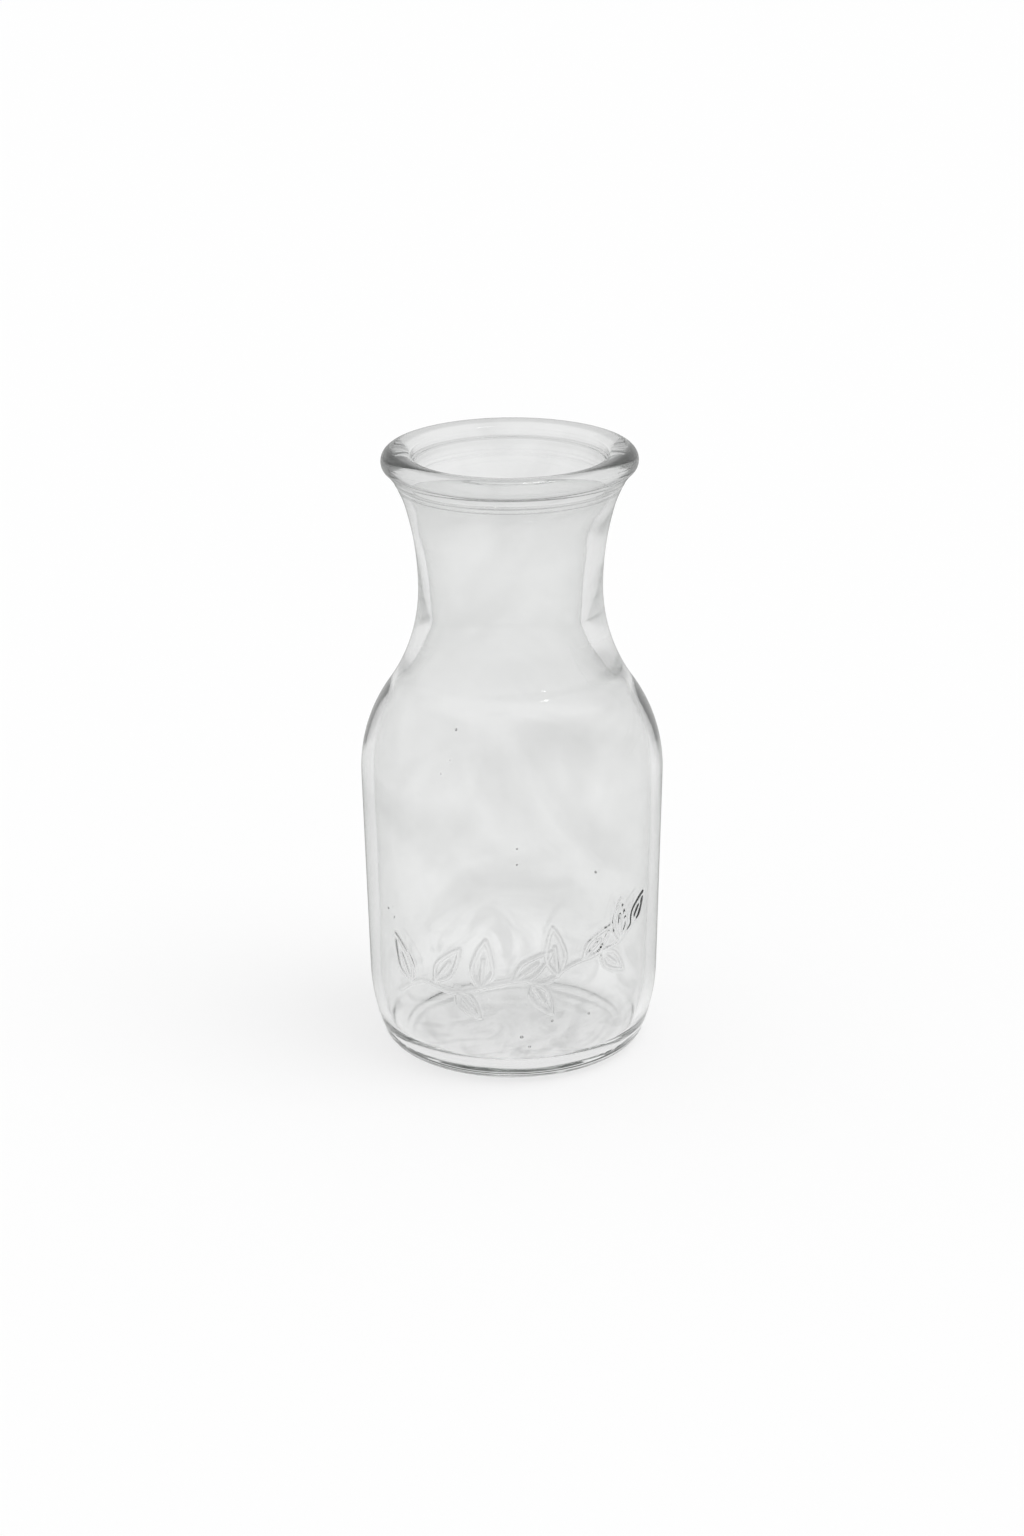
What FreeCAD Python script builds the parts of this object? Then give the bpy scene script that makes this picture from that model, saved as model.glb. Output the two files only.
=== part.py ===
import FreeCAD, Part
import math
import os
import re
import Sketcher

# A small wide-mouthed milk bottle, blown in one piece of clear glass. It stands on
# the ring under its base, with +Z up through the mouth and the origin at the centre
# of that ring. Lengths are in millimetres and angles in degrees.
SIZES = {
    # Whole bottle, and the mouth that a lid or a stopper fits
    "height": 140.0,
    "body_radius": 34.2,
    "mouth_radius": 21.9,
    # Body and shoulder
    "body_taper": 1.4,
    "shoulder_depth": 74.4,
    "shoulder_radius": 33.8,
    # Heel, where the wall turns under, and the ring that the bottle stands on
    "heel_inset": 8.6,
    "heel_radius": 5.0,
    "heel_sweep_radius": 42.0,
    "ring_width": 2.0,
    "push_up": 0.6,
    "push_up_rounding": 40.0,
    # Neck, pinched in below the collar that flares out to the lip
    "waist_depth": 31.5,
    "neck_pinch": 4.7,
    "flare_depth": 11.0,
    "flare_out": 1.55,
    "collar_depth": 7.55,
    "collar_wall": 3.4,
    # Lip, a bead with a domed top, over a hollow cove that rises from the collar
    "lip_width": 6.54,
    "bead_radius": 2.6,
    "bead_depth": 4.0,
    "cove_radius": 12.0,
    "lip_dome_radius": 7.75,
    # Seat for a lid, and the straight throat below it
    "seat_depth": 3.3,
    "seat_width": 0.8,
    "throat_land": 5.0,
    # Cavity
    "throat_wall": 3.25,
    "throat_drop": 6.0,
    "body_wall": 2.5,
    "inner_shoulder_radius": 35.0,
    "inner_heel_inset": 3.1,
    "inner_heel_radius": 7.0,
    "floor_thickness": 2.2,
    # Softened edges
    "mouth_rounding": 0.6,
    "seat_rounding": 0.3,
    "throat_rounding": 8.0,
    "flare_rounding": 20.0,
    "bead_rounding": 0.5,
}

# Places that follow from the sizes, as formulas that the sketches share
RING_RADIUS = "body_radius - heel_inset"
RING_EDGE_RADIUS = "body_radius - heel_inset - ring_width"
SHOULDER_HEIGHT = "height - shoulder_depth"
COLLAR_RADIUS = "mouth_radius + collar_wall"
COLLAR_HEIGHT = "height - collar_depth"
FLARE_RADIUS = "mouth_radius + collar_wall - flare_out"
FLARE_HEIGHT = "height - flare_depth"
WAIST_RADIUS = "mouth_radius + collar_wall - neck_pinch"
WAIST_HEIGHT = "height - waist_depth"
BEAD_CENTRE = "mouth_radius + lip_width - bead_radius"
BEAD_FOOT_HEIGHT = "height - bead_depth"
SEAT_HEIGHT = "height - seat_depth"
THROAT_RADIUS = "mouth_radius - seat_width"
LAND_HEIGHT = "height - seat_depth - throat_land"
INNER_WAIST_RADIUS = "mouth_radius + collar_wall - neck_pinch - throat_wall"
INNER_WAIST_HEIGHT = "height - waist_depth - throat_drop"
INNER_BODY_RADIUS = "body_radius - body_wall"
INNER_HEEL_CENTRE = "body_radius - heel_inset - inner_heel_inset"
INNER_SWEEP_RADIUS = "heel_sweep_radius - body_wall"
FLOOR_HEIGHT = "push_up + floor_thickness"

START, END, CENTRE = 1, 2, 3
ORIGIN = (-1, START)
CUT_BEYOND = 4.0
HEEL_TURN_DRAWN = -20.0
SAME_EDGE = 0.01


def worked_out(formula):
    """The value of a sum of sizes, for drawing a sketch near its final shape."""
    total = 0.0
    sign = 1.0
    for word in formula.split():
        if word in "+-":
            sign = 1.0 if word == "+" else -1.0
        else:
            total += sign * SIZES[word]
    return total


def bound(formula):
    """The same formula as an expression that reads the spreadsheet."""
    return re.sub(r"[a-z_]+", lambda name: f"<<sizes>>.{name.group()}", formula)


def make_sheet(doc):
    """Keep every driving size in a spreadsheet, one aliased row each."""
    sheet = doc.addObject("Spreadsheet::Sheet", "sizes")
    for row, (name, value) in enumerate(SIZES.items(), start=1):
        sheet.set(f"A{row}", name)
        sheet.set(f"B{row}", str(value))
        sheet.setAlias(f"B{row}", name)
    doc.recompute()


def on_circle(centre, radius, angle):
    turn = math.radians(angle)
    return centre[0] + radius * math.cos(turn), centre[1] + radius * math.sin(turn)


class Section:
    """Half a section through the bottle, drawn as one closed chain of lines and arcs.

    x is the distance from the axis and y the height. Each piece has a name, and
    starts where the last one ended: smoothly, or at a corner."""

    def __init__(self, body, name):
        self.sketch = body.newObject("Sketcher::SketchObject", name)
        planes = {plane.Role: plane for plane in body.Origin.OriginFeatures}
        self.sketch.AttachmentSupport = [(planes["XZ_Plane"], "")]
        self.sketch.MapMode = "FlatFace"
        self.pieces = {}
        self.order = []

    def add(self, name, geometry, first, last, smooth):
        index = self.sketch.addGeometry(geometry, False)
        if self.order:
            before = self.order[-1]
            kind = "Tangent" if smooth else "Coincident"
            self.hold(kind, before[0], before[2], index, first)
        self.pieces[name] = index
        self.order.append((index, first, last))

    def line(self, name, start, end, smooth=False, along=None):
        ends = [FreeCAD.Vector(x, y, 0) for x, y in (start, end)]
        self.add(name, Part.LineSegment(*ends), START, END, smooth)
        if along:
            self.hold(along, self.pieces[name])

    def arc(self, name, centre, radius, start_angle, end_angle, smooth=False):
        """An arc between two angles, drawn the way that the angles run."""
        circle = Part.Circle(FreeCAD.Vector(*centre, 0), FreeCAD.Vector(0, 0, 1), radius)
        low, high = sorted((math.radians(start_angle), math.radians(end_angle)))
        ends = (START, END) if start_angle < end_angle else (END, START)
        self.add(name, Part.ArcOfCircle(circle, low, high), *ends, smooth)

    def close(self):
        last, first = self.order[-1], self.order[0]
        self.hold("Coincident", last[0], last[2], first[0], first[1])

    def hold(self, *constraint):
        self.sketch.addConstraint(Sketcher.Constraint(*constraint))

    def upright(self, name, end):
        """Keep an arc's tangent upright at one end: its centre is level with that end."""
        self.hold("Horizontal", self.pieces[name], end, self.pieces[name], CENTRE)

    def level(self, name, end):
        """Keep an arc's tangent level at one end: its centre is plumb with that end."""
        self.hold("Vertical", self.pieces[name], end, self.pieces[name], CENTRE)

    def size(self, constraint, formula):
        """Add a dimension with its drawn value, and bind it to the sheet."""
        index = self.sketch.addConstraint(Sketcher.Constraint(*constraint))
        self.sketch.setExpression(f"Constraints[{index}]", formula)

    def radius(self, name, formula):
        piece = self.pieces[name]
        self.size(("Radius", piece, self.sketch.Geometry[piece].Radius), bound(formula))

    def lean(self, name, formula):
        """Set how far a rising line leans out from the upright."""
        drawn = math.pi / 2 - math.radians(worked_out(formula))
        self.size(("Angle", self.pieces[name], drawn), f"90 - {bound(formula)}")

    def point(self, name, end, across=None, up=None):
        """Dimension a point from the axis, from the base or from both."""
        piece = self.pieces[name]
        drawn = self.sketch.getPoint(piece, end)
        if across:
            self.size(("DistanceX", *ORIGIN, piece, end, drawn.x), bound(across))
        if up:
            self.size(("DistanceY", *ORIGIN, piece, end, drawn.y), bound(up))

    def on_axis(self, name, end):
        self.hold("PointOnObject", self.pieces[name], end, -2)

    def settle(self):
        if self.sketch.solve() != 0 or not self.sketch.FullyConstrained:
            raise RuntimeError(f"{self.sketch.Name} isn't settled by its sizes")


def pinched_arc(low_centre, low_radius, waist):
    """The hollow arc that leaves a round shoulder smoothly and stands upright at a waist.

    Returns its centre, its radius and the angle at which the two arcs meet."""
    across = low_centre[0] + low_radius - waist[0]
    up = waist[1] - low_centre[1]
    radius = (across ** 2 + up ** 2) / (2 * across) - low_radius
    centre = (waist[0] + radius, waist[1])
    meeting = math.atan2(centre[1] - low_centre[1], centre[0] - low_centre[0])
    return centre, radius, math.degrees(meeting)


def flared_arc(waist, top):
    """The hollow arc that stands upright at a waist and flares out to a higher point."""
    across = top[0] - waist[0]
    up = top[1] - waist[1]
    radius = (across ** 2 + up ** 2) / (2 * across)
    angle = 180 - math.degrees(math.asin(up / radius))
    return (waist[0] + radius, waist[1]), radius, angle


def hollow_arc(low, high, radius):
    """The arc of a given radius between two points, hollow as seen from the outside.

    Returns its centre and the angles of its lower and upper ends."""
    across, up = high[0] - low[0], high[1] - low[1]
    chord = math.hypot(across, up)
    out = math.sqrt(radius ** 2 - chord ** 2 / 4) / chord
    centre = ((low[0] + high[0]) / 2 + up * out, (low[1] + high[1]) / 2 - across * out)
    ends = [math.degrees(math.atan2(end[1] - centre[1], end[0] - centre[0])) % 360 for end in (low, high)]
    return centre, *ends


def draw_outside(body):
    """Push-up, ring, heel, tapered body, round shoulder, waisted neck, collar, cove and bead."""
    height = SIZES["height"]
    taper = SIZES["body_taper"]
    ring = worked_out(RING_RADIUS)
    ring_edge = worked_out(RING_EDGE_RADIUS)
    rise = SIZES["push_up"]
    soft_radius = SIZES["push_up_rounding"]
    dome_radius = (ring_edge ** 2 + (soft_radius - rise) ** 2 - soft_radius ** 2) / (2 * rise)
    dome = (0, rise - dome_radius)
    dome_end = math.degrees(math.atan2(soft_radius - dome[1], ring_edge))
    heel_radius = SIZES["heel_radius"]
    sweep_radius = SIZES["heel_sweep_radius"]
    heel_top = on_circle((ring, heel_radius), heel_radius, HEEL_TURN_DRAWN)
    sweep = on_circle(heel_top, sweep_radius, 180 + HEEL_TURN_DRAWN)
    shoulder_radius = SIZES["shoulder_radius"]
    shoulder = (SIZES["body_radius"] - shoulder_radius, worked_out(SHOULDER_HEIGHT))
    waist = (worked_out(WAIST_RADIUS), worked_out(WAIST_HEIGHT))
    flared = (worked_out(FLARE_RADIUS), worked_out(FLARE_HEIGHT))
    collar = (worked_out(COLLAR_RADIUS), worked_out(COLLAR_HEIGHT))
    neck, neck_radius, meeting = pinched_arc(shoulder, shoulder_radius, waist)
    flare, flare_radius, flare_end = flared_arc(waist, flared)
    bead_radius = SIZES["bead_radius"]
    bead = (worked_out(BEAD_CENTRE), height - bead_radius)
    bead_start = math.degrees(math.asin((worked_out(BEAD_FOOT_HEIGHT) - bead[1]) / bead_radius))
    cove_radius = SIZES["cove_radius"]
    cove, cove_start, cove_end = hollow_arc(collar, on_circle(bead, bead_radius, bead_start), cove_radius)

    section = Section(body, "outside_section")
    section.arc("push_up", dome, dome_radius, 90, dome_end)
    section.arc("soft", (ring_edge, soft_radius), soft_radius, 180 + dome_end, 270, smooth=True)
    section.line("ring", (ring_edge, 0), (ring, 0), smooth=True, along="Horizontal")
    section.arc("heel", (ring, heel_radius), heel_radius, -90, HEEL_TURN_DRAWN, smooth=True)
    section.arc("sweep", sweep, sweep_radius, HEEL_TURN_DRAWN, -taper, smooth=True)
    section.line("side", on_circle(sweep, sweep_radius, -taper),
                 on_circle(shoulder, shoulder_radius, -taper), smooth=True)
    section.arc("shoulder", shoulder, shoulder_radius, -taper, meeting, smooth=True)
    section.arc("neck", neck, neck_radius, 180 + meeting, 180, smooth=True)
    section.arc("flare", flare, flare_radius, 180, flare_end, smooth=True)
    section.line("collar", flared, collar)
    section.arc("cove", cove, cove_radius, cove_start, cove_end)
    section.arc("bead", bead, bead_radius, bead_start, 90)
    section.line("top", (bead[0], height), (0, height), smooth=True, along="Horizontal")
    section.line("axis", (0, height), (0, rise), along="Vertical")
    section.close()

    section.on_axis("push_up", END)
    section.on_axis("push_up", CENTRE)
    section.point("push_up", END, up="push_up")
    section.radius("soft", "push_up_rounding")
    section.hold("PointOnObject", section.pieces["ring"], START, -1)
    section.point("ring", START, across=RING_EDGE_RADIUS)
    section.point("ring", END, across=RING_RADIUS)
    section.upright("flare", END)
    section.radius("heel", "heel_radius")
    section.radius("sweep", "heel_sweep_radius")
    section.lean("side", "body_taper")
    section.radius("shoulder", "shoulder_radius")
    section.point("shoulder", CENTRE, across="body_radius - shoulder_radius", up=SHOULDER_HEIGHT)
    section.point("flare", END, across=WAIST_RADIUS, up=WAIST_HEIGHT)
    section.point("flare", START, across=FLARE_RADIUS, up=FLARE_HEIGHT)
    section.point("collar", END, across=COLLAR_RADIUS, up=COLLAR_HEIGHT)
    section.radius("cove", "cove_radius")
    section.point("bead", START, up=BEAD_FOOT_HEIGHT)
    section.point("bead", CENTRE, across=BEAD_CENTRE)
    section.radius("bead", "bead_radius")
    section.point("top", END, up="height")
    section.settle()
    return section.sketch


def draw_cavity(body):
    """Floor, inner wall, throat, the lid's seat and the dome of the lip."""
    height = SIZES["height"]
    taper = SIZES["body_taper"]
    floor = worked_out(FLOOR_HEIGHT)
    heel_radius = SIZES["inner_heel_radius"]
    heel = (worked_out(INNER_HEEL_CENTRE), floor + heel_radius)
    heel_top = on_circle(heel, heel_radius, HEEL_TURN_DRAWN)
    sweep_radius = worked_out(INNER_SWEEP_RADIUS)
    sweep = on_circle(heel_top, sweep_radius, 180 + HEEL_TURN_DRAWN)
    shoulder_radius = SIZES["inner_shoulder_radius"]
    shoulder = (worked_out(INNER_BODY_RADIUS) - shoulder_radius, worked_out(SHOULDER_HEIGHT))
    waist = (worked_out(INNER_WAIST_RADIUS), worked_out(INNER_WAIST_HEIGHT))
    throat = (worked_out(THROAT_RADIUS), worked_out(LAND_HEIGHT))
    neck, neck_radius, meeting = pinched_arc(shoulder, shoulder_radius, waist)
    flare, flare_radius, flare_end = flared_arc(waist, throat)
    mouth = SIZES["mouth_radius"]
    seat = worked_out(SEAT_HEIGHT)
    dome_radius = SIZES["lip_dome_radius"]
    dome = (worked_out(BEAD_CENTRE), height - dome_radius)
    dome_start = math.degrees(math.acos((mouth - dome[0]) / dome_radius))
    above = height + CUT_BEYOND

    section = Section(body, "cavity_section")
    section.line("floor", (0, floor), (heel[0], floor), along="Horizontal")
    section.arc("heel", heel, heel_radius, -90, HEEL_TURN_DRAWN, smooth=True)
    section.arc("sweep", sweep, sweep_radius, HEEL_TURN_DRAWN, -taper, smooth=True)
    section.line("side", on_circle(sweep, sweep_radius, -taper),
                 on_circle(shoulder, shoulder_radius, -taper), smooth=True)
    section.arc("shoulder", shoulder, shoulder_radius, -taper, meeting, smooth=True)
    section.arc("neck", neck, neck_radius, 180 + meeting, 180, smooth=True)
    section.arc("flare", flare, flare_radius, 180, flare_end, smooth=True)
    section.line("land", throat, (throat[0], seat), along="Vertical")
    section.line("seat", (throat[0], seat), (mouth, seat), along="Horizontal")
    section.line("mouth", (mouth, seat), on_circle(dome, dome_radius, dome_start), along="Vertical")
    section.arc("dome", dome, dome_radius, dome_start, 90)
    section.line("rise", (dome[0], height), (dome[0], above), along="Vertical")
    section.line("lid", (dome[0], above), (0, above), along="Horizontal")
    section.line("axis", (0, above), (0, floor), along="Vertical")
    section.close()

    section.on_axis("floor", START)
    section.upright("flare", END)
    section.level("dome", START)
    section.point("floor", START, up=FLOOR_HEIGHT)
    section.point("floor", END, across=INNER_HEEL_CENTRE)
    section.radius("heel", "inner_heel_radius")
    section.radius("sweep", INNER_SWEEP_RADIUS)
    section.lean("side", "body_taper")
    section.radius("shoulder", "inner_shoulder_radius")
    section.point("shoulder", CENTRE, across=f"{INNER_BODY_RADIUS} - inner_shoulder_radius",
                  up=SHOULDER_HEIGHT)
    section.point("flare", END, across=INNER_WAIST_RADIUS, up=INNER_WAIST_HEIGHT)
    section.point("land", START, across=THROAT_RADIUS, up=LAND_HEIGHT)
    section.point("seat", END, across="mouth_radius", up=SEAT_HEIGHT)
    section.point("dome", START, across=BEAD_CENTRE, up="height")
    section.radius("dome", "lip_dome_radius")
    section.size(("DistanceY", section.pieces["rise"], START, section.pieces["rise"], END, CUT_BEYOND),
                 str(CUT_BEYOND))
    section.settle()
    return section.sketch


def turn_about_axis(body, kind, name, sketch):
    """Revolve a section about the bottle's axis, to add glass or to take it away."""
    feature = body.newObject(kind, name)
    feature.Profile = sketch
    feature.ReferenceAxis = (sketch, ["V_Axis"])
    feature.Angle = 360
    body.Document.recompute()
    return feature


def round_edge(body, name, size, radius, height):
    """Soften the circular edge of a given radius that lies nearest to a height."""
    shape = body.Tip.Shape
    found = []
    for number, edge in enumerate(shape.Edges, start=1):
        if edge.Degenerated or not isinstance(edge.Curve, Part.Circle):
            continue
        if abs(edge.Curve.Radius - radius) < SAME_EDGE:
            found.append((abs(edge.Curve.Center.z - height), f"Edge{number}"))
    if not found:
        raise RuntimeError(f"no edge for {name}")
    fillet = body.newObject("PartDesign::Fillet", name)
    fillet.Base = (fillet.BaseFeature, [min(found)[1]])
    fillet.setExpression("Radius", bound(size))
    body.Document.recompute()


def make_bottle(doc):
    """The glass, from the outside in: solid form, hollow, softened edges."""
    body = doc.addObject("PartDesign::Body", "glass_bottle")
    body.Label = "glass_bottle"
    solid = turn_about_axis(body, "PartDesign::Revolution", "outside", draw_outside(body))
    hollow = turn_about_axis(body, "PartDesign::Groove", "cavity", draw_cavity(body))
    brimful = solid.Shape.Volume - hollow.Shape.Volume
    if brimful <= 0:
        raise RuntimeError("the cavity cut nothing away")

    throat = worked_out(THROAT_RADIUS)
    seat = worked_out(SEAT_HEIGHT)
    round_edge(body, "mouth_edge", "mouth_rounding", SIZES["mouth_radius"], SIZES["height"])
    round_edge(body, "seat_corner", "seat_rounding", SIZES["mouth_radius"], seat)
    round_edge(body, "seat_edge", "seat_rounding", throat, seat)
    round_edge(body, "throat_edge", "throat_rounding", throat, worked_out(LAND_HEIGHT))
    round_edge(body, "flare_crease", "flare_rounding", worked_out(FLARE_RADIUS), worked_out(FLARE_HEIGHT))
    bead_radius = SIZES["bead_radius"]
    bead_foot = worked_out(BEAD_CENTRE) + math.sqrt(bead_radius ** 2 - (SIZES["bead_depth"] - bead_radius) ** 2)
    round_edge(body, "bead_edge", "bead_rounding", bead_foot, worked_out(BEAD_FOOT_HEIGHT))
    body.Placement = FreeCAD.Placement()
    print(f"brimful capacity {brimful / 1000:.0f} ml, glass {body.Shape.Volume / 1000:.1f} ml")
    return body


def check(doc, pieces):
    """Stop before anything is written if a feature failed or a solid isn't sound."""
    for item in doc.Objects:
        if {"Invalid", "Error"} & set(item.State):
            raise RuntimeError(f"{item.Name} failed: {item.State}")
    for piece in pieces:
        shape = piece.Shape
        if shape.isNull() or not shape.isValid() or len(shape.Solids) != 1:
            raise RuntimeError(f"{piece.Label} isn't one sound solid")


def main():
    doc = FreeCAD.newDocument("milk_bottle")
    make_sheet(doc)
    pieces = [make_bottle(doc)]
    doc.recompute()
    check(doc, pieces)
    os.makedirs("parts", exist_ok=True)
    for piece in pieces:
        piece.Shape.exportStep(f"parts/{piece.Label}.step")
        box = piece.Shape.optimalBoundingBox()
        print(f"{piece.Label}: {box.XLength:.2f} x {box.YLength:.2f} x {box.ZLength:.2f} mm")


main()
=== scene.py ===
# %% [markdown]
# A small milk bottle of clear glass. The imported model gives its size and its place, and this lesson makes
# its looks: one piece of glass with an uneven wall, and a white table under soft light. The imported model
# is loaded first, because the glass takes its place.

# %% Load the imported model
import math

import bmesh
import bpy
from mathutils import Matrix, Vector, geometry, kdtree, noise


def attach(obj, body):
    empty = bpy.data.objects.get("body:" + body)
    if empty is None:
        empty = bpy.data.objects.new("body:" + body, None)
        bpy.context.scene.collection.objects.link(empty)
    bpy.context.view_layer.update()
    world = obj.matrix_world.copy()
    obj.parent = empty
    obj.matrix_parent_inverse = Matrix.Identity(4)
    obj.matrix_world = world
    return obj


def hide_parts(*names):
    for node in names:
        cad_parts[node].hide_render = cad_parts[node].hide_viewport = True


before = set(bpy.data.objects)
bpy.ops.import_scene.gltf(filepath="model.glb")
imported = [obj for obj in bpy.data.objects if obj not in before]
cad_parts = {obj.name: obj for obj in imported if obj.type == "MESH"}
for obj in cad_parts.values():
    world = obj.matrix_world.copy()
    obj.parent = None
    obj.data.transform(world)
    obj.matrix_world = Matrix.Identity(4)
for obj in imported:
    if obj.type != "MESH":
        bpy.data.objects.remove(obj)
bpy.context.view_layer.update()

MM = 0.001

# %% [markdown]
# The camera stands 0.8 m away and looks down on the bottle by about twenty degrees, with a long lens, so
# the mouth is an open ellipse and the sides hardly converge. A camera can be placed by eye or worked out
# from the outline. This one is worked out, and it is turned by less than half a degree about its own line
# of sight, because the bottle leans by that much in the picture.

# %% Camera
EYE_DISTANCE = 800 * MM
EYE_ELEVATION = math.radians(20.33)
EYE_TURN = math.radians(-0.44)
AIM = Vector((0, 0, 64.88 * MM))
FOCAL_PIXELS = 3520
FRAME_PIXELS_HIGH = 1536
FILM_HEIGHT = 36

lens = bpy.data.cameras.new("lens")
lens.sensor_fit = "VERTICAL"
lens.sensor_height = FILM_HEIGHT
lens.lens = FOCAL_PIXELS / FRAME_PIXELS_HIGH * FILM_HEIGHT
eye = bpy.data.objects.new("eye", lens)
eye.location = AIM + EYE_DISTANCE * Vector((0, -math.cos(EYE_ELEVATION), math.sin(EYE_ELEVATION)))
looking = (AIM - eye.location).to_track_quat("-Z", "Y").to_matrix().to_4x4()
eye.rotation_euler = (looking @ Matrix.Rotation(EYE_TURN, 4, "Z")).to_euler()
bpy.context.collection.objects.link(eye)
bpy.context.scene.camera = eye
print(f"lens {lens.lens:.1f} mm at {EYE_DISTANCE} m")

# %% [markdown]
# A bottle is a turned form, so half of its section says everything about its shape. The section could be
# typed in as points, but then its arcs would be guesses. A pen is used here instead: it starts from one
# vertex, extrudes it for a straight run, and spins it about a centre for an arc. Each stroke starts where
# the last one ended, so arcs that share a tangent stay smooth.


# %% A pen for the section
class SectionPen:
    """Draws half a section in the XZ plane. Lengths are in millimetres, turns in degrees."""

    def __init__(self, mesh, across, up):
        self.mesh = mesh
        self.tip = mesh.verts.new((across * MM, 0, up * MM))

    def line(self, across, up, steps=1):
        stride = (Vector((across * MM, 0, up * MM)) - self.tip.co) / steps
        for _ in range(steps):
            self.tip = bmesh.ops.extrude_vert_indiv(self.mesh, verts=[self.tip])["verts"][0]
            bmesh.ops.translate(self.mesh, verts=[self.tip], vec=stride)

    def arc(self, across, up, turn, steps):
        """Turn about a centre, counter-clockwise where the turn is positive."""
        spun = bmesh.ops.spin(self.mesh, geom=[self.tip], cent=(across * MM, 0, up * MM), axis=(0, -1, 0),
                              angle=math.radians(turn), steps=steps)
        self.tip = next(item for item in spun["geom_last"] if isinstance(item, bmesh.types.BMVert))


print("pen ready")

# %% [markdown]
# The outside starts under the base, where a shallow push-up leaves a ring for the bottle to stand on. A
# tight heel and a long sweep carry the wall up to the tapered body, and the shoulder turns over into the
# waisted neck. Below the lip there is a straight collar with a fine seam at its top, where the mould of the
# lip meets the mould of the body, and then a hollow cove and the round bead.

# %% Outside of the glass
glass = bmesh.new()
inside = glass.verts.layers.float.new("inside")
raised = glass.verts.layers.float.new("raised")
pen = SectionPen(glass, 0, 0.6)
pen.arc(0, -423.8333, -2.9127, 18)  # push-up
pen.arc(23.6, 40, 2.9127, 4)
pen.line(25.6, 0, 2)  # ring
pen.arc(25.6, 5, 69.0784, 20)  # heel
pen.arc(-8.9606, 18.2124, 19.5216, 16)  # sweep
pen.line(34.1899, 64.7742, 48)  # body
pen.arc(0.4, 65.6, 36.5789, 22)  # shoulder
pen.arc(61.2621, 108.5, -35.1789, 24)  # neck
pen.arc(88.8813, 108.5, -16.1975, 18)  # flare
pen.arc(42.5165, 121.9681, -7.9957, 5)
pen.line(25.22, 132.27, 3)  # collar
pen.line(25.38, 132.4)  # seam
pen.line(25.46, 132.53)
pen.line(25.4157, 132.6731)
pen.arc(36.0097, 127.0368, -19.7111, 9)  # cove
pen.line(28.1012, 136.1166)
pen.arc(25.84, 137.4, 119.579, 26)  # bead
outside_count = len(glass.verts)
print("outside drawn with", outside_count, "points")

# %% [markdown]
# The inside comes down from the domed lip: over the rounded edge of the mouth, past the small step that a
# lid would rest on, through the throat and the neck, and out to the wall and the floor. Its points carry a
# mark, because later only the inside is made uneven. The mark is kept as the pen's section is turned.

# %% Inside of the glass
pen.arc(25.84, 132.25, 27.8483, 10)  # domed top
pen.arc(22.5, 138.5719, 62.1517, 8)  # edge of the mouth
pen.line(21.9, 137, 3)  # lid's seat
pen.arc(21.6, 137, -90, 4)  # step
pen.line(21.4, 136.7)
pen.arc(21.4, 136.4, 90, 4)
pen.line(21.1, 132.7099, 4)  # throat
pen.arc(13.1, 132.7099, -14.152, 4)
pen.arc(132.9103, 102.5, 14.152, 24)  # neck
pen.arc(36.9679, 102.5, 42.501, 22)
pen.arc(-3.3, 65.6, -43.901, 26)  # shoulder
pen.line(30.5219, 16.9663, 26)  # wall
pen.arc(-8.9663, 17.9314, -13.0891, 8)
pen.arc(22.5, 9.8, -75.5109, 18)  # inner heel
pen.line(0, 2.8, 20)  # floor
glass.verts.ensure_lookup_table()
for point in glass.verts[outside_count:]:
    point[inside] = 1
print("whole section drawn with", len(glass.verts), "points")

# %% [markdown]
# A lathe or a Screw modifier could turn the section. The spin operator is used because its result is plain
# mesh that can be worked on at once. The two ends of the section lie on the axis, so their many copies are
# merged into one pole each, and the faces are turned to point out of the glass.

# %% Turn the section into a bottle
STEPS_ROUND = 192
SAME_POINT = 0.0005 * MM
bmesh.ops.spin(glass, geom=glass.verts[:] + glass.edges[:], cent=(0, 0, 0), axis=(0, 0, 1),
               angle=2 * math.pi, steps=STEPS_ROUND, use_merge=True)
bmesh.ops.remove_doubles(glass, verts=glass.verts[:], dist=SAME_POINT)
bmesh.ops.recalc_face_normals(glass, faces=glass.faces[:])
print("turned glass has", len(glass.faces), "faces")

# %% [markdown]
# The glass is blown into a mould, so the outside is true and the inside is not. In the neck the bore sits
# to one side, and all over the wall and the floor the thickness wanders a little. A bump in the material
# would bend only the reflections. Moving the points of the inside bends what is seen through the wall too,
# which is what makes glass look blown.


# %% Uneven wall
def eased(value, start, end):
    """How far a value has come from start to end, from 0 to 1, easing in and out."""
    part = min(max((value - start) / (end - start), 0), 1)
    return part * part * (3 - 2 * part)


BORE_SHIFT = 0.75 * MM
WALL_WANDER = 0.16 * MM
FLOOR_WANDER = 0.4 * MM
WAVES_PER_METRE = Vector((38, 38, 24))
FINER_WAVES_PER_METRE = 95
FINER_SHARE = 0.7
NECK_STARTS = (82, 98)
NECK_ENDS = (120, 130)
THROAT_STARTS = (118, 129)
FLOOR_ENDS = (3, 14)

for point in glass.verts:
    if point[inside] < 0.5:
        continue
    across = math.hypot(point.co.x, point.co.y)
    up = point.co.z / MM
    in_neck = eased(up, *NECK_STARTS) * (1 - eased(up, *NECK_ENDS))
    below_throat = 1 - eased(up, *THROAT_STARTS)
    on_floor = 1 - eased(up, *FLOOR_ENDS)
    wander = noise.noise(point.co * WAVES_PER_METRE) * below_throat
    if across > 0:
        point.co.xy *= 1 - wander * WALL_WANDER * (1 - on_floor) / across
    finer = FINER_SHARE * noise.noise(point.co * FINER_WAVES_PER_METRE)
    point.co.z += (wander + finer) * FLOOR_WANDER * on_floor
    point.co.x -= BORE_SHIFT * in_neck
print("inside made uneven")

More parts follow.
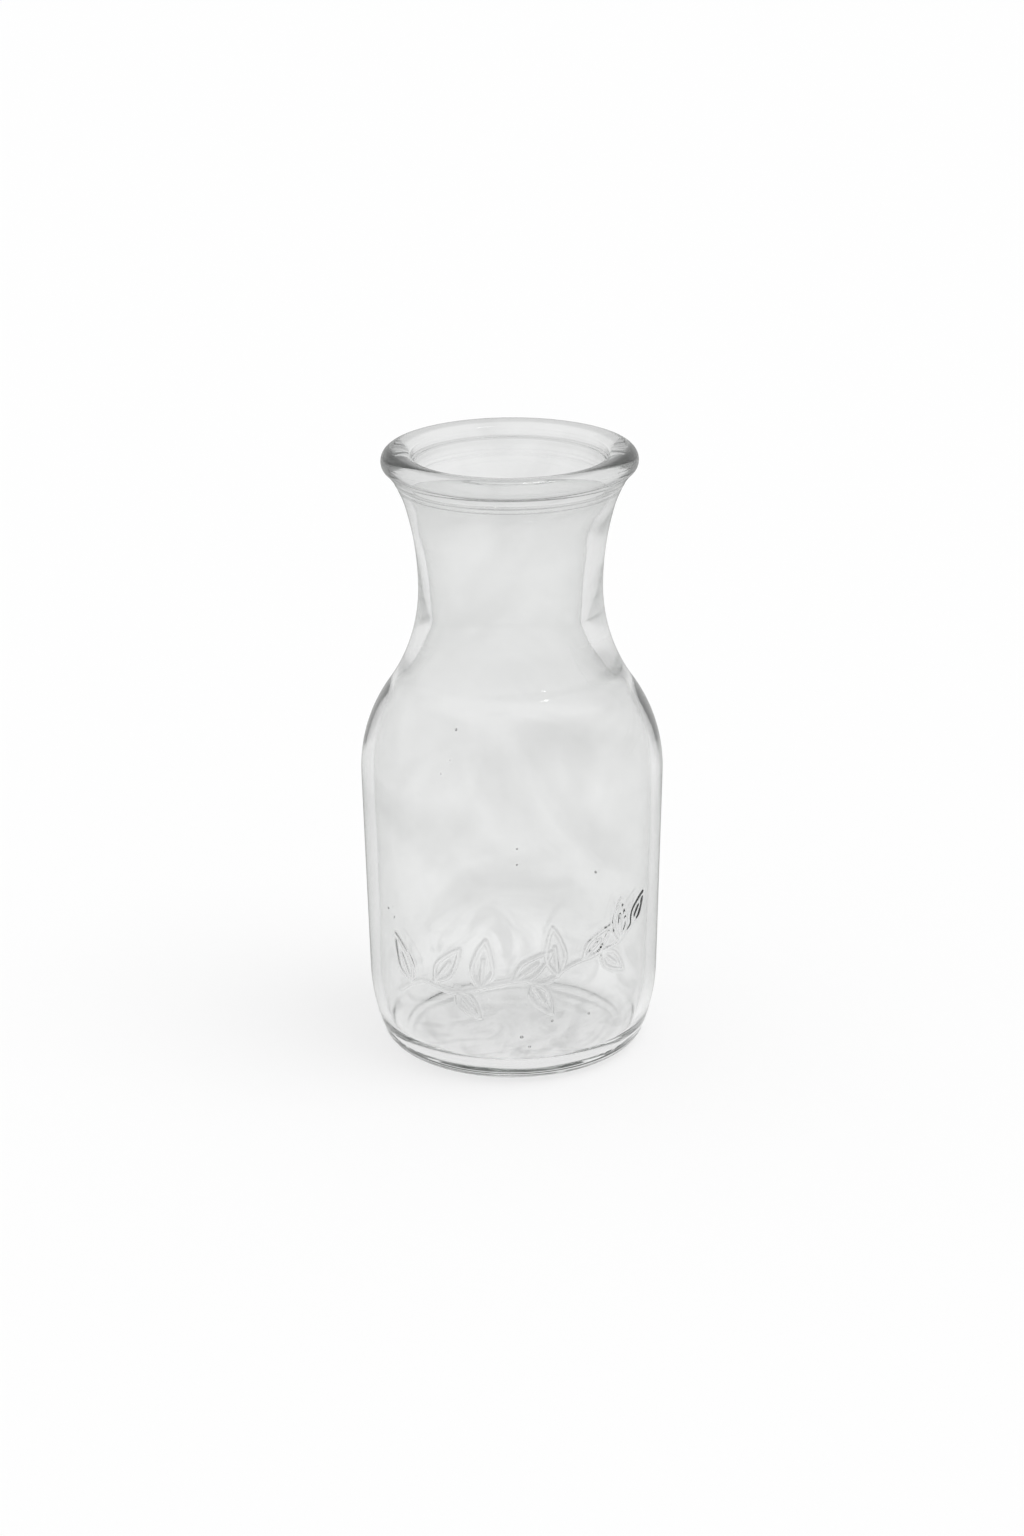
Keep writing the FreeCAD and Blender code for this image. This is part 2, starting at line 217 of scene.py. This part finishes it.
# %% [markdown]
# Low on the front, the mould leaves a raised sprig in thin lines: a wavy stem, and leaves in outline with a
# vein each. The lines are drawn flat first, in millimetres along and up the wall, because a drawing is easier
# to judge than a list of places in space. Each line flows through a few points.

# %% Lines of the sprig
VEIN_LENGTH = 0.6
WIDEST_AT = 0.35
NARROWER_AT = 0.75
NARROWER_WIDTH = 0.6


def flowing(points, steps=40):
    """A smooth line through points. A handle reaches a sixth of the way between a point's neighbours."""
    spots = [Vector(point) for point in points]
    line = []
    for first, second in zip(range(len(spots) - 1), range(1, len(spots))):
        before, after = spots[max(first - 1, 0)], spots[min(second + 1, len(spots) - 1)]
        reach_out = spots[first] + (spots[second] - before) / 6
        reach_in = spots[second] - (after - spots[first]) / 6
        line += geometry.interpolate_bezier(spots[first], reach_out, reach_in, spots[second], steps)
    return line


def leaf(along, up, lean, length, width):
    """The outline of a leaf that springs from the stem, and the vein down its middle."""
    tilt = math.radians(lean)
    foot = Vector((along, up))
    forward = Vector((math.cos(tilt), math.sin(tilt)))
    aside = Vector((-math.sin(tilt), math.cos(tilt)))
    lines = flowing([foot, foot + forward * length * VEIN_LENGTH])
    for side in (width, -width):
        widest = foot + forward * length * WIDEST_AT + aside * side
        narrower = foot + forward * length * NARROWER_AT + aside * side * NARROWER_WIDTH
        lines += flowing([foot, widest, narrower, foot + forward * length])
    return lines


STEM = [(-29, 19.5), (-22, 24), (-13.5, 23), (-5, 25.4), (1.5, 26.8), (7, 26), (13, 29.4), (20, 31), (26, 32),
        (31, 35.2)]
LEAVES = [
    (-25, 22.4, 118, 12, 2.2), (-18.5, 24.6, 55, 11, 2.0), (-13, 23.4, -48, 8, 1.8),
    (-7.5, 24.4, 84, 12, 2.3), (0, 26.6, 38, 11, 2.0), (4, 26.1, -60, 9, 1.9), (10, 27.2, 96, 12, 2.2),
    (16, 30.2, 40, 10, 1.9), (21, 30.8, -42, 9, 1.8), (26.5, 32.4, 88, 10, 2.0), (30.5, 34.8, 52, 8, 1.6),
]
sprig = flowing(STEM)
for numbers in LEAVES:
    sprig += leaf(*numbers)
print("sprig has", len(sprig), "points on its lines")

# %% [markdown]
# The sprig could be separate wires laid on the wall, but then light would see a gap under each. Here the wall
# itself is raised. The faces near the lines are divided finely, put back on the true outside, and then lifted
# by how near they are to a line. Towards its two ends the sprig is lower, because the wall is seen edge on
# there, and full relief would look black.

# %% Raise the sprig on the wall
BODY_FOOT = (33.0269, 17.1862)
LEAN = math.tan(math.radians(1.4))
SWEEP_CENTRE = (-8.9606, 18.2124)
SWEEP_RADIUS = 42


def outer_across(up):
    """How far the outside of the body and the sweep of the heel are from the axis, in millimetres."""
    if up > BODY_FOOT[1]:
        return BODY_FOOT[0] + (up - BODY_FOOT[1]) * LEAN
    return SWEEP_CENTRE[0] + math.sqrt(SWEEP_RADIUS ** 2 - (up - SWEEP_CENTRE[1]) ** 2)


def on_wall(along, up):
    """The place on the outside of the body, from millimetres along and up the wall."""
    across = outer_across(up)
    around = along / across
    return Vector((across * math.sin(around), -across * math.cos(around), up)) * MM


RAISED = 0.5 * MM
LINE_EDGE = (0.12 * MM, 0.68 * MM)
REWORKED = 1.3 * MM
FINE_CUTS = 3
LOWER_AT_ENDS = 0.5
ENDS_START = (15 * MM, 27 * MM)

near_line = kdtree.KDTree(len(sprig))
for number, spot in enumerate(sprig):
    near_line.insert(on_wall(*spot), number)
near_line.balance()
close = [face for face in glass.faces if near_line.find(face.calc_center_median())[2] < REWORKED]
edges = {edge for face in close for edge in face.edges}
fine = bmesh.ops.subdivide_edges(glass, edges=list(edges), cuts=FINE_CUTS, use_grid_fill=True)
points = {vert for item in fine["geom"] if isinstance(item, bmesh.types.BMFace) for vert in item.verts}
for point in points:
    away = near_line.find(point.co)[2]
    lift = 1 - eased(away, *LINE_EDGE)
    lower = 1 - LOWER_AT_ENDS * eased(abs(point.co.x), *ENDS_START)
    wanted = outer_across(point.co.z / MM) * MM + RAISED * lift * lower
    point.co.xy *= wanted / math.hypot(point.co.x, point.co.y)
    point[raised] = lift
print(len(points), "points of the wall follow the sprig")

# %% [markdown]
# Glass carries seeds, which are small bubbles that were still in it when it set. A seed could be painted
# as a white dot, but a real one bends light, so each is a small hollow ball inside the wall: an icosphere
# with its faces turned inwards, towards the air in the bubble.

# %% Seeds in the wall
SEEDS = [
    (1.6, 58.3, 0.24), (1.6, 54.5, 0.22), (3.1, 12.5, 0.4), (6.3, 9.9, 0.3), (15.4, 16, 0.3),
    (31.3, 16.2, 0.3), (-28, 74.5, 0.24), (-24, 78, 0.2), (-58, 38, 0.3), (140, 30, 0.36), (205, 62, 0.3),
    (250, 24, 0.38), (100, 48, 0.26),
]
WALL_MIDDLE = (31.77, 17)
HEEL_DRAWS_IN = 0.6
HEEL_ENDS = (6, 16)
for turn, up, size in SEEDS:
    across = WALL_MIDDLE[0] + (up - WALL_MIDDLE[1]) * LEAN - HEEL_DRAWS_IN * (1 - eased(up, *HEEL_ENDS))
    around = math.radians(turn)
    place = Matrix.Translation(Vector((across * math.sin(around), -across * math.cos(around), up)) * MM)
    ball = bmesh.ops.create_icosphere(glass, subdivisions=2, radius=size * MM, matrix=place)
    shell = {face for vert in ball["verts"] for face in vert.link_faces}
    bmesh.ops.reverse_faces(glass, faces=list(shell))
print(len(SEEDS), "seeds set in the wall")

# %% [markdown]
# The worked mesh becomes one object. It rides on the imported model's only body and takes the place of its
# one node, which is hidden.

# %% Hand the glass over as a piece
for face in glass.faces:
    face.smooth = True
shape = bpy.data.meshes.new("clear_bottle")
glass.to_mesh(shape)
glass.free()
bottle = bpy.data.objects.new("clear_bottle", shape)
bpy.context.collection.objects.link(bottle)
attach(bottle, "root")
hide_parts("glass_bottle")
print("bottle has", sum(len(face.vertices) - 2 for face in shape.polygons), "triangles")

# %% [markdown]
# Materials are networks of nodes, and sums of nodes are hard to read. A small class holds one socket and
# lets Python's own operators write the sum, so a mask is written as it would be on paper. One method adds
# every other kind of node.


# %% Sums inside a material
class Strand:
    """One value inside a node tree. Sums of strands add the tree's Math nodes."""

    def __init__(self, tree, socket):
        self.tree = tree
        self.socket = socket

    @staticmethod
    def node(tree, kind, settings=None, sockets=None, output=0):
        """Add a node: its settings first, then the values or the links of its sockets."""
        made = tree.nodes.new(kind)
        for name, value in (settings or {}).items():
            setattr(made, name, value)
        for name, value in (sockets or {}).items():
            if isinstance(value, Strand):
                tree.links.new(value.socket, made.inputs[name])
            else:
                made.inputs[name].default_value = value
        return Strand(tree, made.outputs[output] if made.outputs else None)

    def sum(self, operation, left, right):
        return Strand.node(self.tree, "ShaderNodeMath", {"operation": operation}, {0: left, 1: right})

    def __add__(self, other):
        return self.sum("ADD", self, other)

    def __radd__(self, other):
        return self.sum("ADD", other, self)

    def __rsub__(self, other):
        return self.sum("SUBTRACT", other, self)

    def __mul__(self, other):
        return self.sum("MULTIPLY", self, other)

    def __rmul__(self, other):
        return self.sum("MULTIPLY", other, self)

    def eased(self, start, end):
        """The strand's own value, eased from 0 at start to 1 at end."""
        return Strand.node(self.tree, "ShaderNodeMapRange", {"interpolation_type": "SMOOTHSTEP"},
                           {"Value": self, "From Min": start, "From Max": end})


def blank_material(name):
    """A material whose tree is still empty."""
    made = bpy.data.materials.new(name)
    made.use_nodes = True
    made.node_tree.nodes.clear()
    return made


print("strands ready")

# %% [markdown]
# Glass that has been used and washed isn't the same all over: the floor swirls, and the neck clouds less than
# the body. Shade is painted on the lip, over the shoulder and along some edges, and a bright patch on the
# floor.
# Such places could be painted on a picture, but they follow the bottle's height, so they are written as bands
# of height in its own coordinates. Two marks that were left on the mesh say what is inside and what is
# raised.

# %% Places on the glass
clear = blank_material("clear_glass")
tree = clear.node_tree
here = Strand.node(tree, "ShaderNodeTexCoord", output="Object")
up = Strand.node(tree, "ShaderNodeSeparateXYZ", sockets={"Vector": here}, output="Z")


def above(start, end):
    """0 below one height and 1 above another, in millimetres."""
    return up.eased(start * MM, end * MM)


def band(rise, fall):
    """1 between two heights. It rises over the first pair and falls over the second, in millimetres."""
    return above(*rise) * (1 - above(*fall))


marked = Strand.node(tree, "ShaderNodeAttribute", {"attribute_name": "inside"}, output="Fac")
lift = Strand.node(tree, "ShaderNodeAttribute", {"attribute_name": "raised"}, output="Fac")
low = 1 - above(10, 26)
on_shoulder = band((62, 70), (84, 94))
over_shoulder = band((66, 82), (92, 106))
in_neck = band((84, 94), (118, 128))
in_lip = above(110, 136)
on_step = band((136.3, 136.5), (136.9, 137.1)) * marked
on_crest = above(139.5, 139.9)
print("places on the glass written with", len(tree.nodes), "nodes")

# %% [markdown]
# The grey of the surface is a bloom in clouds and a swirl in the floor. A clearer spot in the floor is a
# painted bright patch. A band over the shoulder and the whole lip get painted shade, and painted dark lines
# run along the crest of the lip, the step in the mouth and the slopes of the sprig. They could be separate
# materials, but they fade into each other, so they are added up into one strength that mixes two tints.

# %% Grey of the surface and painted shade
BLOOM = 0.3
BLOOM_EDGES = (0.38, 0.72)
BLOOM_LOST_IN_NECK = 0.5
SWIRL = 0.7
SWIRL_EDGES = (0.45, 0.7)
# Painted shade: a darker band over the shoulder, a darker lip, and dark lines along the crest, the step in
# the mouth and the slopes of the sprig.
SHOULDER_PAINTED_SHADE = 0.12
LIP_PAINTED_SHADE = 0.2
CREST_PAINTED_SHADE = 0.9
STEP_PAINTED_SHADE = 0.8
SPRIG_SLOPE_PAINTED_SHADE = 1.6
# Painted light: round this spot the floor is clearer, a painted bright patch.
PAINTED_BRIGHT_MIDDLE = Vector((4, 16, 2)) * MM
PAINTED_BRIGHT_REACH = 17 * MM
PAINTED_BRIGHT_BY = 0.8
CLEAN_TINT = (0.992, 0.994, 0.993, 1)
GREY_TINT = (0.62, 0.623, 0.622, 1)

cloud = Strand.node(tree, "ShaderNodeTexNoise",
                    sockets={"Vector": here, "Scale": 30, "Detail": 3, "Distortion": 1.2})
swirl = Strand.node(tree, "ShaderNodeTexNoise",
                    sockets={"Vector": here, "Scale": 65, "Detail": 2, "Distortion": 2.5})
away = Strand.node(tree, "ShaderNodeVectorMath", {"operation": "DISTANCE"}, {0: here, 1: PAINTED_BRIGHT_MIDDLE},
                   output="Value")
painted_bright_spot = 1 - PAINTED_BRIGHT_BY * (1 - away.eased(0, PAINTED_BRIGHT_REACH))
# The clouds and the swirl differ at random. The rest of this sum is painted shade, and the painted bright
# patch clears the swirl round one spot.
clouds_and_painted_shade = (BLOOM * cloud.eased(*BLOOM_EDGES) * (1 - low) * (1 - BLOOM_LOST_IN_NECK * in_neck)
        + SWIRL * low * swirl.eased(*SWIRL_EDGES) * painted_bright_spot * marked
        + SHOULDER_PAINTED_SHADE * over_shoulder + LIP_PAINTED_SHADE * in_lip
        + CREST_PAINTED_SHADE * on_crest + STEP_PAINTED_SHADE * on_step + SPRIG_SLOPE_PAINTED_SHADE * lift * (1 - lift))
tint = Strand.node(tree, "ShaderNodeMix", {"data_type": "RGBA"},
                   {"Factor": clouds_and_painted_shade, 6: CLEAN_TINT, 7: GREY_TINT}, output=2)
print("grey of the surface mixes two tints")

# %% [markdown]
# A thin grey coat, mostly on the outside, is painted shade. Dark cards round the bottle could draw its
# outline, but each view would need its own. The coat is used instead: light that grazes the wall crosses more
# of it, so the edges are outlined from every side. There is little of it at the foot, less of it inside and
# on the shoulder, and a little less where there are smears.

# %% Grey coat of painted edge shade
SMEAR_EDGES = (0.58, 0.75)
EDGE_SHADE_AT_FOOT = 0.05
LOST_IN_SMEARS = 0.15
LOST_ON_SHOULDER = 0.35
LOST_INSIDE = 0.6
KEPT_INSIDE_NECK = 0.67
LOST_OUTSIDE_NECK = 0.25

drawn_out = Strand.node(tree, "ShaderNodeMapping", sockets={"Vector": here, "Scale": (30, 30, 90)})
smear = Strand.node(tree, "ShaderNodeTexNoise", sockets={"Vector": drawn_out, "Scale": 1, "Detail": 4})
smear = smear.eased(*SMEAR_EDGES)
# Painted shade: how much grey coat outlines the edges. It is thinner at the foot, on the shoulder and inside.
edge_shade_coat = (1 - LOST_IN_SMEARS * smear) * (EDGE_SHADE_AT_FOOT + (1 - EDGE_SHADE_AT_FOOT) * above(4, 22))
edge_shade_coat = edge_shade_coat * (1 - LOST_ON_SHOULDER * on_shoulder)
edge_shade_coat = edge_shade_coat * (1 - LOST_INSIDE * marked * (1 - KEPT_INSIDE_NECK * in_neck))
edge_shade_coat = edge_shade_coat * (1 - LOST_OUTSIDE_NECK * in_neck * (1 - marked))
print("film thinned at the foot, on the shoulder and inside")

# %% [markdown]
# Bottle glass is clear, and turns green only where light goes a long way inside it, along the bead and in the
# heel. A green surface would be green everywhere, so the green comes from absorption inside the glass. The
# finish is polished by fire, with a slow ripple.

# %% Clear glass
RIPPLE_DEPTH = 0.3 * MM
SMEAR_ROUGHNESS = 0.03
# The coat's grey tint is painted shade for the edges.
EDGE_SHADE_TINT = (0.95, 0.951, 0.95, 1)
GREEN_WITHIN = (0.55, 0.6, 0.58, 1)

ripple = Strand.node(tree, "ShaderNodeTexNoise", sockets={"Vector": here, "Scale": 55, "Detail": 1})
skin = Strand.node(tree, "ShaderNodeBump",
                   sockets={"Height": ripple, "Strength": 0.25, "Distance": RIPPLE_DEPTH})
polished = Strand.node(tree, "ShaderNodeBsdfPrincipled",
                       sockets={"IOR": 1.52, "Transmission Weight": 1, "Base Color": tint,
                                "Roughness": SMEAR_ROUGHNESS * smear, "Normal": skin, "Coat Weight": edge_shade_coat,
                                "Coat IOR": 1, "Coat Roughness": 0, "Coat Tint": EDGE_SHADE_TINT})
depth = Strand.node(tree, "ShaderNodeVolumeAbsorption", sockets={"Color": GREEN_WITHIN, "Density": 2.5})
Strand.node(tree, "ShaderNodeOutputMaterial", sockets={"Surface": polished, "Volume": depth})
shape.materials.append(clear)
print("clear glass made with", len(tree.nodes), "nodes")

# %% [markdown]
# The table is a wide white sheet. A white floor that is only lit would have to be flooded with light to
# look white, so most of its white is its own and a small part is lit. That small part carries the soft
# shadow that the bottle throws to the left.


# %% Table
def lay_sheet(name, middle, reach, material):
    """A flat sheet round a middle, as far as it reaches to each side."""
    sheet = bmesh.new()
    place = Matrix.Translation(middle) @ Matrix.Diagonal((*reach, 1, 1))
    bmesh.ops.create_grid(sheet, x_segments=1, y_segments=1, size=1, matrix=place)
    mesh = bpy.data.meshes.new(name)
    sheet.to_mesh(mesh)
    sheet.free()
    mesh.materials.append(material)
    laid = bpy.data.objects.new(name, mesh)
    bpy.context.collection.objects.link(laid)
    return laid


TABLE_REACH = 20
TABLE_GAP = 0.05 * MM
OWN_WHITE = 0.73
LIT_WHITE = 0.17

white = blank_material("white_table")
tree = white.node_tree
glow = Strand.node(tree, "ShaderNodeEmission", sockets={"Strength": OWN_WHITE})
matt = Strand.node(tree, "ShaderNodeBsdfDiffuse", sockets={"Color": (LIT_WHITE, LIT_WHITE, LIT_WHITE, 1)})
both = Strand.node(tree, "ShaderNodeAddShader", sockets={0: glow, 1: matt})
Strand.node(tree, "ShaderNodeOutputMaterial", sockets={"Surface": both})
table = lay_sheet("table", Vector((0, 0, -TABLE_GAP)), (TABLE_REACH, TABLE_REACH), white)
print("table", 2 * TABLE_REACH, "m wide")

# %% [markdown]
# Glass shows the room more than it shows itself. The room here is five soft walls of light, each with its
# own strength, that run into each other: the squares of a direction's three parts add up to one, so each
# wall's strength is simply weighted by its own square. Near the table the walls run into the table's white,
# as a sweep of paper does, so that the glass shows no horizon.

# %% Room of soft light
RIGHT_WALL = 0.65
LEFT_WALL = 1.1
BACK_WALL = 0.65
FRONT_WALL = 0.4
CEILING = 1.3
TABLE_WHITE = 0.98
SWEEP_ENDS = (0.08, 0.45)

room = bpy.data.worlds.new("room")
bpy.context.scene.world = room
room.use_nodes = True
tree = room.node_tree
tree.nodes.clear()
way = Strand.node(tree, "ShaderNodeTexCoord", output="Generated")


def share(part, sign):
    """The square of one part of the direction, on one side only."""
    side = Strand.node(tree, "ShaderNodeSeparateXYZ", sockets={"Vector": way}, output=part) * sign
    held = Strand.node(tree, "ShaderNodeClamp", sockets={"Value": side})
    return held * held


walls = (share("X", 1) * RIGHT_WALL + share("X", -1) * LEFT_WALL + share("Y", 1) * BACK_WALL
         + share("Y", -1) * FRONT_WALL + share("Z", 1) * CEILING)
height = Strand.node(tree, "ShaderNodeSeparateXYZ", sockets={"Vector": way}, output="Z")
sweep = 1 - height.eased(*SWEEP_ENDS)
level = walls + (TABLE_WHITE - walls) * sweep
light = Strand.node(tree, "ShaderNodeBackground", sockets={"Color": level, "Strength": 1})
Strand.node(tree, "ShaderNodeOutputWorld", sockets={"Surface": light})
print("room lit by five soft walls")

# %% [markdown]
# A small bright panel overhead gives the glass a few short white glints. It could be a lamp, but a sheet has
# a shape, and its shape is what a glint shows. It is hidden from the camera and from the light on the table,
# so only the glass shows it.

# %% Panel that only the glass can see
PANEL_MIDDLE = Vector((220, 60, 1100)) * MM
PANEL_REACH = (130 * MM, 45 * MM)
PANEL_STRENGTH = 9

bright = blank_material("bright_panel")
tree = bright.node_tree
shine = Strand.node(tree, "ShaderNodeEmission", sockets={"Strength": PANEL_STRENGTH})
Strand.node(tree, "ShaderNodeOutputMaterial", sockets={"Surface": shine})
panel = lay_sheet("bright_panel", PANEL_MIDDLE, PANEL_REACH, bright)
panel.visible_camera = False
panel.visible_diffuse = False
panel.visible_shadow = False
print("panel of strength", PANEL_STRENGTH)

# %% [markdown]
# One broad lamp to the right of the camera gives the shadow its side. Its own image would sit on the
# shoulder as a bright blob, so the lamp is kept out of reflections: it only lights the table.

# %% Broad lamp
LAMP_STRENGTH = 1.8
LAMP_WIDTH = math.radians(35)
LAMP_FROM = Vector((0.4, -0.15, 1))
lamp = bpy.data.lights.new("broad_lamp", "SUN")
lamp.energy = LAMP_STRENGTH
lamp.angle = LAMP_WIDTH
broad_lamp = bpy.data.objects.new("broad_lamp", lamp)
broad_lamp.rotation_euler = (-LAMP_FROM).to_track_quat("-Z", "Y").to_euler()
broad_lamp.visible_glossy = False
broad_lamp.visible_transmission = False
bpy.context.collection.objects.link(broad_lamp)
print("lamp", LAMP_STRENGTH)

# %% [markdown]
# Light may be thrown about many times inside the bead and the heel before it comes out. If it is given up
# too soon those places turn black, so the number of turns is raised. Colours are shown as they are.

# %% Light paths and colours
PATH_TURNS = 160
paths = bpy.context.scene.cycles
paths.max_bounces = PATH_TURNS
paths.glossy_bounces = PATH_TURNS
paths.transmission_bounces = PATH_TURNS
bpy.context.scene.view_settings.view_transform = "Standard"
print("light may turn", PATH_TURNS, "times")
